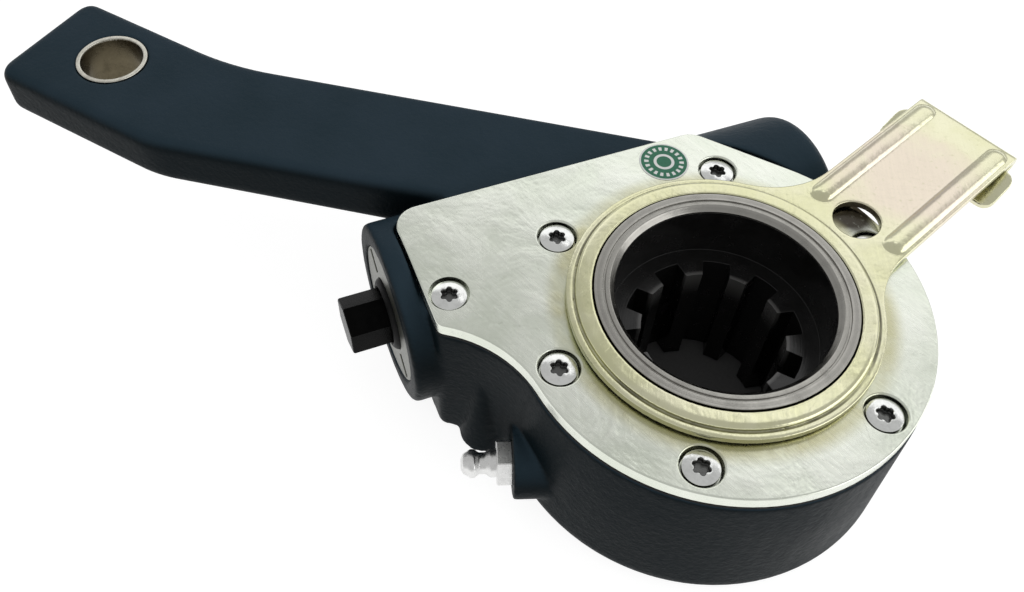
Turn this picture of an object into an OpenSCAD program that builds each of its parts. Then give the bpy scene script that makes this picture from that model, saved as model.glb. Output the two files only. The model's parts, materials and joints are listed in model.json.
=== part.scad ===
// Automatic brake slack adjuster with a splined worm wheel, a worm barrel and a bent lever.
// The origin is on the camshaft axis at the back face of the housing. +Z points to the cover and
// +X to the clevis hole at the lever's end. All sizes are in millimetres.

/* [Lever] */
// Distance from the camshaft axis to the clevis hole
lever_length = 171; // [150:1:190]
// Width of the lever
lever_width = 34.4; // [31:0.2:37]
// Thickness of the lever
lever_thickness = 14; // [12:0.5:16]
// Radius of the lever's long edges
lever_edge_round = 3; // [1:0.5:5]
// Radius of the lever's corners at its tip
lever_corner_round = 3.5; // [2:0.5:8]
// Distance from the clevis hole to the end of the lever
lever_tip_reach = 23; // [19:0.5:26]
// Angle of the lever's tip section
lever_tip_angle = 2.4; // [0:0.2:8]
// Angle through which the lever is bent
lever_bend_angle = 17.4; // [14:0.2:22]
// Distance from the clevis hole to the bend
lever_bend_distance = 27.5; // [22:0.5:32]
// Offset of the lever's middle from the clevis hole
lever_offset = 1.5; // [0:0.1:3]
// Radius of the bend on its outer edge
lever_outer_bend = 30; // [20:1:50]
// Radius of the bend on its hollow edge
lever_inner_bend = 80; // [60:1:90]
// Height of the lever's top face over the gasket seat
lever_proud = 1.1; // [0.8:0.1:2]
// Bore of the clevis bush
bush_bore = 16; // [12:0.5:20]
// Wall of the clevis bush
bush_wall = 1.2; // [0.8:0.1:2]

/* [Housing] */
// Height of the housing from its back face to the cover gasket
housing_height = 41; // [40.5:0.5:46]
// Radius of the round gear case at its back edge
case_radius = 48.6; // [47.4:0.2:52]
// Draft of the gear case, taken off its radius at the cover
case_draft = 1.6; // [0:0.2:1.6]
// Rounding of the gear case at its back edge
case_round = 5; // [2:0.5:8]
// Angle from the lever to the worm axis
worm_angle = 48.6; // [46:0.2:51]
// Depth of the worm axis under the gasket seat
worm_depth = 18; // [17.6:0.1:18.2]
// Outside radius of the worm barrel
barrel_radius = 22.4; // [21.4:0.2:22.6]
// Distance from the wheel's centre plane to the barrel's open end
barrel_front = 66.8; // [65:0.2:72]
// Distance from the wheel's centre plane to the barrel's closed end
barrel_back = 48; // [47:0.5:54]
// Rounding of the barrel's closed end
barrel_round = 5; // [2:0.5:6]
// Wall at the barrel's closed end
barrel_end_wall = 4.5; // [3:0.5:6]

/* [Cover] */
// Radius of the cover's round end
cover_radius = 46.8; // [46:0.1:46.8]
// Thickness of the cover
cover_thickness = 3.5; // [3:0.1:5]
// Thickness of the gasket under the cover
gasket_thickness = 0.5; // [0.3:0.1:1]
// Distance from the camshaft axis to the cover's straight edge
cover_edge = 50.2; // [49:0.2:51]
// Distance along the worm axis to the cover's end edge
cover_reach = 61; // [61:0.2:61.6]
// Distance along the worm axis to the cover's back corner
cover_back = 21.5; // [18:0.5:24]
// Distance from the camshaft axis to the cover's low corner
cover_low = 15.2; // [13:0.2:17]
// Radius of the cover's wide corners
cover_corner = 6; // [3:0.5:8]
// Radius of the cover's low corner
cover_low_corner = 2.5; // [1.5:0.5:4]
// Radius of the hollow blend between the low corner and the round end
cover_blend = 29; // [24:0.5:34]
// Radius of the bolt circle
bolt_circle = 40.6; // [40.6:0.1:41]
// Distance along the worm axis to the corner screw
corner_screw_along = 55.8; // [54:0.2:55.8]
// Distance from the camshaft axis to the corner screw
corner_screw_across = 23.4; // [22:0.2:26]
// Head diameter of the cover screws
screw_head = 8; // [7:0.2:8.6]
// Shank diameter of the cover screws
screw_shank = 5; // [4:0.1:5.2]
// Depth of the screws in the housing
screw_grip = 4.4; // [4:0.1:4.5]

/* [Worm gear] */
// Gear module of worm and wheel
gear_module = 2; // [1.9:0.05:2.1]
// Number of teeth on the wheel
wheel_teeth = 28; // [28:1:28]
// Pitch diameter of the worm
worm_pitch_diameter = 20; // [19:0.5:21]
// Face width of the wheel's teeth
wheel_face = 18; // [14:0.5:18]
// Length of the worm's thread
worm_thread_length = 32; // [26:1:32]
// Share of the pitch that is left as play in the mesh
mesh_play = 0.12; // [0.08:0.01:0.2]
// Diameter of the worm shaft
worm_shaft_diameter = 13; // [11:0.5:13.2]
// Width of the adjusting hexagon across its flats
hex_flats = 12; // [10:0.5:12]
// Length of the adjusting hexagon outside the barrel
hex_length = 10.5; // [8:0.5:14]

/* [Wheel hub] */
// Diameter of the hub above the teeth
hub_diameter = 58; // [57:0.5:58]
// Height of the hub over the cover
hub_proud = 4; // [3:0.2:4]
// Diameter of the lower journal
journal_diameter = 54; // [50:0.5:54]
// Number of spline teeth
spline_teeth = 10; // [10:1:10]
// Major diameter of the spline
spline_major = 41.3; // [38:0.1:43]
// Minor diameter of the spline
spline_minor = 33.4; // [31:0.1:35]
// Width of the spline's grooves
spline_groove = 6.45; // [5:0.05:7]
// Diameter of the pilot bore over the spline
pilot_bore = 48.8; // [46:0.2:50]
// Depth of the pilot bore
pilot_depth = 15; // [10:0.5:18]

/* [Control] */
// Direction of the control arm from the lever
arm_angle = -110.8; // [-116:0.2:-106]
// Offset of the arm's centreline from the camshaft axis
arm_offset = 5.4; // [0:0.1:8]
// Width of the control arm
arm_width = 28; // [24:0.5:32]
// Length of the control arm
arm_length = 86.8; // [80:0.2:94]
// Thickness of the control arm
arm_thickness = 2; // [1.6:0.1:2.4]
// Gap between the cover and the control arm
arm_gap = 0.7; // [0.5:0.1:1]
// Outside diameter of the arm's ring
ring_diameter = 70; // [69:0.2:72]
// Radius of the blend between ring and arm
arm_blend = 22; // [14:1:28]
// Diameter of the hole in the arm
arm_hole = 11.2; // [8:0.1:12]
// Distance from the camshaft axis to the hole along the arm
arm_hole_along = 40.7; // [40:0.1:44]
// Distance between the arm's ribs
rib_spacing = 20.8; // [19:0.2:21]
// Height of the ribs
rib_height = 1.2; // [0.6:0.1:2]
// Length of the tab folded under the arm's tip
tab_length = 12.5; // [9.5:0.5:13]
// Angle at which the folded tab opens
tab_angle = 20; // [5:1:22]
// Reach of the tab's ears beyond the arm's edges
ear_reach = 3; // [1:0.5:4]
// Diameter of the control disc
disc_diameter = 65; // [64:0.2:65.4]
// Thickness of the control disc
disc_thickness = 2.8; // [2.2:0.1:3]
// Distance along the worm axis to the disc's pin
pin_along = 32; // [31.5:0.1:32.2]
// Distance from the camshaft axis to the disc's pin
pin_across = 10; // [9.6:0.1:10.6]
// Swing of the control arm to each side
arm_swing = 12; // [8:0.5:12]

/* [Rack and clutch] */
// Gear module of rack and pinion
rack_module = 1.3; // [1.25:0.05:1.35]
// Number of teeth on the pinion
pinion_teeth = 20; // [20:1:20]
// Width of the rack and the pinion
rack_width = 8.8; // [7:0.2:8.8]
// Distance along the worm axis to the rack's middle
rack_along = 38.1; // [38:0.1:38.6]
// Outside diameter of the clutch sleeve
sleeve_diameter = 17.2; // [16.6:0.1:17.4]
// Wire of the wrap spring
wrap_wire = 1.1; // [0.9:0.05:1.2]
// Turns of the wrap spring
wrap_turns = 6; // [4:1:7]
// Wire diameter of the clutch spring
spring_wire = 4; // [3:0.1:4.2]
// Turns of the clutch spring
spring_turns = 3.5; // [2.5:0.5:3.5]

/* [Grease nipple] */
// Height of the grease nipple over the back face
nipple_height = 13; // [12:0.5:16]
// Place of the nipple's seat along X
nipple_x = 30; // [29:0.5:32]
// Place of the nipple's seat along Y
nipple_y = 41.5; // [40:0.5:43]
// Direction of the grease nipple from the lever
nipple_angle = 30; // [22:1:38]
// Radius of the nipple's thread
nipple_thread = 3; // [2.5:0.1:3.5]
// Length of the nipple's thread
nipple_grip = 8; // [6:0.5:9]
// Width of the nipple's hexagon across its flats
nipple_flats = 10; // [8:0.5:11]
// Radius of the nipple's round head
nipple_head = 3.3; // [2.8:0.1:3.6]
// Height of the nipple over its seat
nipple_reach = 11.8; // [10:0.2:14]
// Radius of the boss under the nipple
boss_radius = 8.5; // [7:0.5:10]

/* [Hidden] */
$fn = 64;
paint = [0.09, 0.11, 0.13];
zinc = [0.78, 0.79, 0.74];
yellow_zinc = [0.84, 0.82, 0.62];
steel = [0.55, 0.55, 0.54];
black = [0.04, 0.04, 0.04];
rubber = [0.06, 0.06, 0.06];
slit = 0.3;
running = 0.06;
eps = 0.5;
far = 200;

// Heights of the stacked faces
gasket_top = housing_height + gasket_thickness;
cover_top = gasket_top + cover_thickness;
seat_cut = housing_height + 2;
slab_bottom = 2;
lever_top = housing_height + lever_proud;
lever_bottom = lever_top - lever_thickness;
hub_top = cover_top + hub_proud;

// Worm gear
worm_height = housing_height - worm_depth;
wheel_pitch_r = gear_module*wheel_teeth/2;
worm_pitch_r = worm_pitch_diameter/2;
gear_distance = wheel_pitch_r + worm_pitch_r;
worm_tip_r = worm_pitch_r + gear_module;
worm_root_r = worm_pitch_r - 1.25*gear_module;
wheel_tip_r = wheel_pitch_r + gear_module;
wheel_root_r = wheel_pitch_r - 1.25*gear_module;
axial_pitch = PI*gear_module;
lead_angle = atan(axial_pitch/(2*PI*worm_pitch_r));
tooth_width = axial_pitch*(0.5 - mesh_play/2);
flank = tan(20);
worm_end = worm_thread_length/2;
worm_bore_r = worm_tip_r + 0.6;
shaft_r = worm_shaft_diameter/2;
shaft_hole_r = shaft_r + 0.1;
worm_floor = barrel_back - barrel_end_wall;
teeth_bottom = worm_height - wheel_face/2;
teeth_top = worm_height + wheel_face/2;
cavity_floor = teeth_bottom - 0.1;

// Control parts over the wheel
hub_r = hub_diameter/2;
journal_r = journal_diameter/2;
control_bore_r = hub_r + 0.35;
sleeve_r = control_bore_r + 2.65;
cover_bore_r = sleeve_r + 0.1;
disc_r = disc_diameter/2;
cavity_r = disc_r + 0.9;
disc_top = housing_height - slit;
disc_bottom = disc_top - disc_thickness;
arm_bottom = cover_top + arm_gap;
arm_top = arm_bottom + arm_thickness;
ring_r = ring_diameter/2;
collar_r = hub_r + 4.2;
collar_top = hub_top - 0.1;
rib_r = 3.7;
fold_r = 0.6;
pin_r = 1.5;
lug_r = 3;
pin_reach = norm([pin_along, pin_across]);
pin_turn = atan2(pin_across, pin_along);

// Rack, pinion and clutch
pinion_pitch_r = rack_module*pinion_teeth/2;
pinion_tip_r = pinion_pitch_r + rack_module;
pinion_root_r = pinion_pitch_r - 1.25*rack_module;
rack_pitch = PI*rack_module;
rack_tooth = 0.43*rack_pitch;
pitch_plane = worm_height + pinion_pitch_r;
rack_root = pitch_plane + 1.25*rack_module;
rack_tip = pitch_plane - rack_module;
rack_top = housing_height - 1.3;
rack_near = rack_along - rack_width/2;
rack_far = rack_along + rack_width/2;
rack_travel = pin_reach*(sin(pin_turn + arm_swing) - sin(pin_turn - arm_swing))/2;
fork_half = 5;
fork_bottom = disc_bottom - 3.4;
fork_top = disc_bottom - 0.4;
fork_tip = control_bore_r + 0.2;
fork_back = rack_near + 2.5;
body_start = pin_across + lug_r + 1;
rack_end = gear_distance + rack_travel + 4.4;
pinion_bore_r = sleeve_diameter/2 + wrap_wire + slit;
chamber_r = pinion_tip_r + 0.5;
chamber_start = rack_near - slit;
chamber_end = rack_far + slit;
washer_start = chamber_end + 0.2;
plug_nose_start = washer_start + 1.8;
plug_start = barrel_front - 10.4;
plug_nose_r = chamber_r - 0.2;
plug_r = plug_nose_r + 2.4;
plug_end = barrel_front - 0.4;
clutch_end = rack_far + 0.1;
clutch_flange_end = chamber_start - 9;

hex_seal_r = 9;
hex_seal_depth = 3.5;

// Thrust bearing behind the worm
roller_r = 1.25;
roller_count = 12;
washer_thickness = 1.8;
front_washer_face = -(worm_end + 0.4 + washer_thickness);
roller_plane = front_washer_face - roller_r - 0.05;
rear_washer_face = roller_plane - roller_r - 0.05;
spring_seat = rear_washer_face - washer_thickness;
thrust_in = shaft_hole_r + slit;

// Lever
lever_outer = lever_offset + lever_width/2;
lever_inner = lever_offset - lever_width/2;
lever_root_length = lever_length - 53;
lever_edge_steps = 5;
lever_tip_drop = 2;
bush_r = bush_bore/2 + bush_wall;

// Centres of the cover's corners, along the worm axis and across it
cover_back_centre = [-cover_back + cover_corner, -cover_edge + cover_corner];
cover_front_centre = [cover_reach - cover_corner, -cover_edge + cover_corner];
cover_low_centre = [cover_reach - cover_low_corner, -cover_low - cover_low_corner];
blend_centre = circles_meet(cover_radius + cover_blend, cover_low_centre, cover_low_corner + cover_blend);

// Screw places as points in plan
screw_angles = [104, 165.6, 52.2, 0.3, -68.1, -127.4];
corner_screw = worm_plan(corner_screw_along, corner_screw_across);
screw_places = concat([for (a = screw_angles) bolt_circle*[cos(a), sin(a)]], [corner_screw]);

// Point in plan from its distances along and across the worm axis
function worm_plan(along, across) =
    along*[cos(worm_angle), sin(worm_angle)] + across*[sin(worm_angle), -cos(worm_angle)];

// Meeting point, on the left side, of a circle round the origin and a circle round another point
function circles_meet(r1, c2, r2) =
    let (d = norm(c2), a = (r1*r1 - r2*r2 + d*d)/(2*d), h = sqrt(r1*r1 - a*a))
    a*c2/d + h*[-c2[1], c2[0]]/d;

// Angle of the outer tangent's touching points on two circles, on the right side seen from the first
function tangent_angle(c1, r1, c2, r2) =
    atan2(c2[1] - c1[1], c2[0] - c1[0]) - acos((r1 - r2)/norm(c2 - c1));

function on_circle(c, r, a) = c + r*[cos(a), sin(a)];

// Points along an arc, with and without its ends
function arc(c, r, from, to, steps) = [for (i = [0:steps]) on_circle(c, r, from + (to - from)*i/steps)];
function inner_arc(c, r, from, to, steps) =
    [for (i = [1:steps - 1]) on_circle(c, r, from + (to - from)*i/steps)];

// Frame of the worm: local Z along the worm axis to the hexagon, local -X up, local -Y across
module worm_frame() {
    at = worm_plan(0, gear_distance);
    translate([at[0], at[1], worm_height]) rotate([0, 0, worm_angle]) rotate([0, 90, 0]) children();
}

// Frame along and across the worm axis in plan: local X along the axis, local -Y across
module plan_frame() {
    rotate([0, 0, worm_angle]) children();
}

module at_screws() {
    for (p = screw_places) translate([p[0], p[1], 0]) children();
}

module tube(r_in, r_out, from, to) {
    translate([0, 0, from]) difference() {
        cylinder(r = r_out, h = to - from);
        translate([0, 0, -eps]) cylinder(r = r_in, h = to - from + 2*eps);
    }
}

module rod(r, from, to) {
    translate([0, 0, from]) cylinder(r = r, h = to - from);
}

module seal_ring(r_mid, r_wire, z) {
    translate([0, 0, z]) rotate_extrude() translate([r_mid, 0]) circle(r = r_wire, $fn = 24);
}

// Outline of the cover, grown on all sides by a margin
module cover_outline(grow = 0) {
    r0 = cover_radius + grow;
    r1 = cover_corner + grow;
    r2 = cover_low_corner + grow;
    back = tangent_angle([0, 0], r0, cover_back_centre, r1);
    front = tangent_angle(cover_front_centre, r1, cover_low_centre, r2);
    from_low = blend_centre - cover_low_centre;
    low = atan2(from_low[1], from_low[0]);
    touch = atan2(blend_centre[1], blend_centre[0]);
    polygon(concat(
        arc([0, 0], r0, touch, 360 + back, 72),
        arc(cover_back_centre, r1, back, -90, 6),
        arc(cover_front_centre, r1, -90, front, 10),
        arc(cover_low_centre, r2, front, low, 8),
        inner_arc(blend_centre, cover_blend - grow, low + 180, touch + 180, 12)));
}

module cover_slab(from, to, grow = 0) {
    plan_frame() translate([0, 0, from]) linear_extrude(to - from) cover_outline(grow);
}

module lever_frame() {
    translate([lever_length, 0, 0]) rotate([0, 0, -lever_tip_angle]) children();
}

// Rounded cross-section of the lever between points on its two edges, thinned by a drop
function lever_ring(outer, inner, drop = 0) =
    let (half = norm(outer - inner)/2, mid = (outer + inner)/2, side = (outer - inner)/(2*half))
    [for (corner = [0:3], i = [0:lever_edge_steps]) let (
        a = 90*(corner + i/lever_edge_steps),
        y = sign(cos(90*corner + 45))*(half - lever_edge_round) + lever_edge_round*cos(a),
        z = sign(sin(90*corner + 45))*(lever_thickness/2 - drop - lever_edge_round) + lever_edge_round*sin(a))
        [mid[0] + y*side[0], mid[1] + y*side[1], lever_top - lever_thickness/2 + z]];

// Point on an edge of the lever in its bend
function edge_bend(y, r, turn) =
    on_circle([r*tan(lever_bend_angle/2) - lever_bend_distance, y - r], r, 90 + turn);
function outer_bend(turn) = edge_bend(lever_outer, lever_outer_bend, turn);
function inner_bend(turn) = edge_bend(lever_inner, lever_inner_bend, turn);

// Bent lever: the long section that runs out of the gear case, the bend and the rounded tip
module lever_casting() {
    bend_steps = 8;
    tip_steps = 6;
    root = lever_root_length*[cos(lever_bend_angle), sin(lever_bend_angle)];
    lever_frame() skin(concat(
        [lever_ring(outer_bend(lever_bend_angle) - root, inner_bend(lever_bend_angle) - root)],
        [for (i = [0:bend_steps]) let (turn = lever_bend_angle*(1 - i/bend_steps))
            lever_ring(outer_bend(turn), inner_bend(turn))],
        [for (i = [0:tip_steps]) let (a = 90*i/tip_steps,
                x = lever_tip_reach - lever_corner_round*(1 - sin(a)),
                cut = lever_corner_round*(1 - cos(a)))
            lever_ring([x, lever_outer - cut], [x, lever_inner + cut], lever_tip_drop*(1 - cos(a)))]));
}

// Round gear case with draft and a rounded back edge
module gear_case() {
    rotate_extrude($fn = 96) {
        translate([case_radius - case_round, case_round]) circle(r = case_round, $fn = 48);
        square([case_radius - case_round, 2*case_round]);
        polygon([[0, case_round], [case_radius, case_round], [case_radius - case_draft, seat_cut],
            [0, seat_cut]]);
    }
}

// Barrel round the worm with its open end and its rounded closed end
module worm_barrel() {
    chamfer = 0.8;
    worm_frame() rotate_extrude() {
        translate([barrel_radius - barrel_round, -barrel_back + barrel_round])
            circle(r = barrel_round, $fn = 48);
        translate([0, -barrel_back]) square([barrel_radius - barrel_round, barrel_back]);
        polygon([[0, -barrel_back + barrel_round], [barrel_radius, -barrel_back + barrel_round],
            [barrel_radius, barrel_front - chamfer], [barrel_radius - chamfer, barrel_front],
            [0, barrel_front]]);
    }
}

// Round bar in the lever's root that encloses the outer end of the rack
module rack_boss() {
    wall = 4;
    boss_r = rack_width/2 + wall;
    middle = rack_tip + 1;
    top = lever_top - 0.2;
    plan_frame() translate([rack_along, -(rack_end + rack_travel + wall) + 2*boss_r, 0]) rotate([90, 0, 0])
        linear_extrude(2*boss_r)
            polygon(concat(arc([0, middle], boss_r, 180, 360, 16), [[boss_r, top], [-boss_r, top]]));
}

// Tapered post on the flank between the nipple and the barrel
module flank_post() {
    at = worm_plan(51.5, 11);
    translate([at[0], at[1], slab_bottom - 0.8]) cylinder(r1 = 6.3, r2 = 1, h = 0.75*housing_height);
}

module nipple_frame() {
    translate([nipple_x, nipple_y, nipple_height]) rotate([0, 90, nipple_angle]) children();
}

// Space for the worm, the pinion and the end plug
module worm_space() {
    worm_frame() {
        rod(worm_bore_r, -worm_floor, chamber_start + eps);
        rod(chamber_r, chamber_start, plug_start + eps);
        rod(plug_r + running, plug_start, barrel_front + eps);
    }
}

// Slot for the rack, open to the seat under the cover and closed beyond it, and the space for the
// rack's fork and the disc's lug
module rack_space() {
    lug_reach = pin_reach + lug_r + 0.4;
    lug_near = pin_reach*cos(pin_turn + arm_swing) - lug_r - 0.5;
    slot_near = body_start - rack_travel - 0.5;
    slot_open = cover_edge - 3;
    slot_far = rack_end + rack_travel + 0.5;
    slot_bottom = min(rack_tip, fork_bottom) - slit;
    slot_roof = rack_top + slit;
    slot_top = housing_height + 0.1;
    fork_near = pin_across - fork_half - rack_travel - 0.5;
    fork_far = pin_across + fork_half + rack_travel + 0.8;
    plan_frame() {
        translate([chamber_start - slit/3, 0, 0]) rotate([90, 0, 90])
            linear_extrude(chamber_end - chamber_start + slit/3)
                polygon([[-slot_far, slot_bottom], [-slot_near, slot_bottom], [-slot_near, slot_top],
                    [-slot_open, slot_top], [-slot_open, slot_roof], [-slot_far, slot_roof]]);
        translate([lug_near, -fork_far, fork_bottom - 1.5*slit])
            cube([lug_reach - lug_near, fork_far - fork_near,
                housing_height - fork_bottom + 1.5*slit + eps]);
    }
}

module housing() {
    color(paint) difference() {
        union() {
            gear_case();
            cover_slab(slab_bottom, seat_cut);
            worm_barrel();
            lever_casting();
            rack_boss();
            flank_post();
            nipple_frame() rod(boss_radius, -20, 0);
        }
        cover_slab(housing_height, far, 2*slit);
        rod(journal_r + running, -eps, far);
        rod(cavity_r, cavity_floor, far);
        worm_space();
        rack_space();
        at_screws() rod(screw_shank/2 + running, housing_height - screw_grip - 0.2, far);
        translate([lever_length, 0, 0]) rod(bush_r + 0.01, -eps, far);
        nipple_frame() {
            rod(nipple_thread + running, -nipple_grip - 1, eps);
            rod(1.5, -24, -nipple_grip);
        }
    }
}

module lever_bush() {
    color(zinc) translate([lever_length, 0, 0])
        tube(bush_bore/2, bush_r, lever_bottom, lever_top + 0.2);
}

module cover_plate() {
    seat = 2.6;
    color(zinc) difference() {
        cover_slab(gasket_top, cover_top);
        rod(cover_bore_r, 0, far);
        at_screws() {
            rod(screw_shank/2 + 0.3, 0, far);
            rod(screw_head/2 + 0.6, cover_top - seat, far);
        }
    }
}

module cover_gasket() {
    color(black) difference() {
        cover_slab(housing_height, gasket_top);
        rod(sleeve_r + 0.6, 0, far);
        at_screws() rod(screw_shank/2 + 0.3, 0, far);
    }
}

// Six lobed driver socket
module lobed_socket(r) {
    lobe = 0.3*r;
    circle(r = 0.78*r);
    for (i = [0:5]) rotate(60*i) translate([r - lobe, 0]) circle(r = lobe, $fn = 16);
}

module cover_screw() {
    seat = 2.6;
    crown = 14;
    head_top = cover_top - 0.1;
    difference() {
        union() {
            intersection() {
                rod(screw_head/2, cover_top - seat, head_top);
                translate([0, 0, head_top - crown]) sphere(r = crown);
            }
            rod(screw_shank/2, housing_height - screw_grip, cover_top - seat + 0.1);
        }
        translate([0, 0, head_top - 1.8]) linear_extrude(far) lobed_socket(0.26*screw_head);
    }
}

module cover_screws() {
    color(zinc) at_screws() cover_screw();
}

module grease_nipple() {
    hex_top = 0.3*nipple_reach;
    neck = 0.76*nipple_head;
    color(zinc) nipple_frame() difference() {
        union() {
            rod(nipple_thread, -nipple_grip, 0.1);
            rotate([0, 0, 30]) cylinder(r = nipple_flats/2/cos(30), h = hex_top, $fn = 6);
            rotate_extrude() polygon([[0, hex_top - eps], [nipple_head, hex_top - eps],
                [nipple_head, 0.42*nipple_reach], [neck, 0.52*nipple_reach], [neck, 0.64*nipple_reach],
                [nipple_head, 0.74*nipple_reach], [nipple_head, 0.81*nipple_reach],
                [0.67*nipple_head, 0.96*nipple_reach], [0.36*nipple_head, nipple_reach],
                [0, nipple_reach]]);
        }
        rod(0.27*nipple_head, -nipple_grip - 1, nipple_reach + 1);
    }
}

module end_plug() {
    slot_width = 2.4;
    slot_depth = 3;
    slot_in = 10.4;
    groove_at = plug_start + 3;
    color(steel) worm_frame() difference() {
        union() {
            rod(plug_r, plug_start, plug_end);
            rod(plug_nose_r, plug_nose_start, plug_start + eps);
        }
        rod(shaft_hole_r, 0, far);
        rod(hex_seal_r + 0.05, plug_end - hex_seal_depth, far);
        for (s = [0, 180]) rotate([0, 0, s])
            translate([slot_in, -slot_width/2, plug_end - slot_depth])
                cube([plug_r - 0.8 - slot_in, slot_width, far]);
        tube(plug_r - 1.3, plug_r + eps, groove_at - 0.75, groove_at + 0.75);
    }
}

module plug_o_ring() {
    color(rubber) worm_frame() seal_ring(plug_r - 0.65, 0.64, plug_start + 3);
}

module hex_seal() {
    hole_r = hex_flats/2/cos(30) + 0.3;
    color(rubber) worm_frame() difference() {
        rotate_extrude() polygon([[0, plug_end - hex_seal_depth], [hex_seal_r, plug_end - hex_seal_depth],
            [hex_seal_r, plug_end + 0.4], [hex_seal_r - 1, plug_end + 1.2], [0, plug_end + 1.2]]);
        rod(hole_r, 0, far);
    }
}

// Section of a single start thread, cut square to its axis
function thread_radius(turn) =
    let (along = abs(turn)*axial_pitch/360, half = tooth_width/2)
    min(worm_tip_r, max(worm_root_r, worm_pitch_r + (half - along)/flank));

// Closed solid through rings of points, each with the same number of sides
module skin(rings) {
    sides = len(rings[0]);
    last = len(rings) - 1;
    points = [for (ring = rings, p = ring) p];
    walls = [for (i = [0:last - 1], k = [0:sides - 1], half = [0, 1]) let (j = (k + 1)%sides)
        half == 0 ? [i*sides + k, (i + 1)*sides + k, (i + 1)*sides + j]
            : [i*sides + k, (i + 1)*sides + j, i*sides + j]];
    caps = [[for (k = [0:sides - 1]) k], [for (k = [sides - 1:-1:0]) last*sides + k]];
    polyhedron(points, concat(walls, caps));
}

module worm_thread() {
    sides = 20;
    run_out = 2.5;
    slices = ceil(16*worm_thread_length/axial_pitch);
    skin([for (i = [0:slices]) let (z = worm_thread_length*(i/slices - 0.5), turn = 360*z/axial_pitch,
            fade = min(1, (worm_end - abs(z))/run_out))
        [for (k = [0:sides - 1]) let (a = 360*k/sides - 180,
                r = worm_root_r + fade*(thread_radius(a) - worm_root_r))
            [r*cos(a + turn), r*sin(a + turn), z]]]);
}

// Cone of the clutch, on the worm and, grown by a gap, in the clutch wheel
module clutch_cone(gap = 0) {
    translate([0, 0, worm_end + slit])
        cylinder(r1 = worm_tip_r - 1 + gap, r2 = shaft_r + 0.2 + gap, h = 4);
}

module worm_shaft() {
    tail = worm_end + 14;
    hex_start = plug_end - hex_seal_depth;
    color(steel) worm_frame() {
        rotate([0, 0, 90]) worm_thread();
        rod(shaft_r, -tail, hex_start);
        rod(hex_flats/2 - 0.5, hex_start - 1, hex_start + 1);
        clutch_cone();
        translate([0, 0, hex_start])
            cylinder(r = hex_flats/2/cos(30), h = hex_seal_depth + 0.4 + hex_length, $fn = 6);
    }
}

module clutch_wheel() {
    color(steel) worm_frame() difference() {
        union() {
            rod(worm_tip_r, worm_end + 2*slit, clutch_flange_end);
            rod(sleeve_diameter/2, clutch_flange_end - eps, clutch_end);
        }
        rod(shaft_hole_r, 0, far);
        clutch_cone(0.1);
    }
}

// Section of a coil's wire at one angle
function coil_ring(r, a, z, wire, sides) =
    [for (k = [0:sides - 1]) let (t = 360*k/sides + 180/sides, x = r + wire*cos(t))
        [x*cos(a), x*sin(a), z + wire*sin(t)]];

module coil(r, wire, from, to, turns, sides, steps) {
    n = ceil(turns*steps);
    skin([for (i = [0:n]) coil_ring(r, 360*turns*i/n, from + (to - from)*i/n, wire, sides)]);
}

module one_way_spring() {
    half = wrap_wire/2;
    coil_r = (sleeve_diameter/2 + pinion_bore_r)/2;
    color(steel) worm_frame()
        coil(coil_r, half*sqrt(2), rack_near + 0.6, rack_far - 0.6, wrap_turns, 4, 24);
}

module pinion_plan() {
    half = 0.43*rack_pitch/2;
    for (i = [0:pinion_teeth - 1]) rotate(360*i/pinion_teeth) polygon([
        [pinion_root_r - 0.4, -half - 1.25*rack_module*flank], [pinion_tip_r, -half + rack_module*flank],
        [pinion_tip_r, half - rack_module*flank], [pinion_root_r - 0.4, half + 1.25*rack_module*flank]]);
    circle(r = pinion_root_r);
}

module rack_pinion() {
    color(steel) worm_frame() translate([0, 0, rack_near]) rotate([0, 0, 180]) difference() {
        linear_extrude(rack_width) pinion_plan();
        rod(pinion_bore_r, -eps, far);
    }
}

module pinion_washer() {
    color(steel) worm_frame() tube(shaft_hole_r + slit, plug_nose_r, washer_start, plug_nose_start);
}

// Profile of the rack, along its slide and up, with a tooth space over the pinion's top tooth
module rack_profile() {
    half = rack_tooth/2;
    first = ceil((body_start + 3 - gear_distance)/rack_pitch - 0.5);
    last = floor((rack_end - 1 - gear_distance)/rack_pitch - 0.5);
    translate([-rack_end, rack_root]) square([rack_end - body_start, rack_top - rack_root]);
    for (i = [first:last]) translate([-(gear_distance + (i + 0.5)*rack_pitch), pitch_plane])
        polygon([[-half - 1.3*rack_module*flank, 1.3*rack_module], [-half + rack_module*flank, -rack_module],
            [half - rack_module*flank, -rack_module], [half + 1.3*rack_module*flank, 1.3*rack_module]]);
}

module rack() {
    slot = pin_r + 0.6;
    color(steel) plan_frame() difference() {
        union() {
            translate([rack_near, 0, 0]) rotate([90, 0, 90]) linear_extrude(rack_width) rack_profile();
            translate([fork_tip, -pin_across - fork_half, fork_bottom])
                cube([fork_back - fork_tip, 2*fork_half, fork_top - fork_bottom]);
            translate([rack_near, -body_start - 4, fork_bottom])
                cube([fork_back - rack_near, 4 + eps, rack_root - fork_bottom + eps]);
        }
        translate([fork_tip - eps, -pin_across - slot, 0])
            cube([pin_reach + slot - fork_tip + eps, 2*slot, far]);
    }
}

// Outline of the control disc with the lug that carries its pin
module disc_plan() {
    lug_half = lug_r - 0.3;
    circle(r = disc_r);
    rotate(worm_angle - pin_turn) {
        translate([disc_r - 2, -lug_half]) square([pin_reach - disc_r + 2, 2*lug_half]);
        translate([pin_reach, 0]) circle(r = lug_r, $fn = 48);
    }
}

module control_disc() {
    color(steel) difference() {
        union() {
            translate([0, 0, disc_bottom]) linear_extrude(disc_thickness) disc_plan();
            plan_frame() rotate([0, 0, -pin_turn]) translate([pin_reach, 0, 0])
                rod(pin_r, fork_bottom, disc_bottom + eps);
        }
        rod(control_bore_r, 0, far);
    }
}

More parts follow.
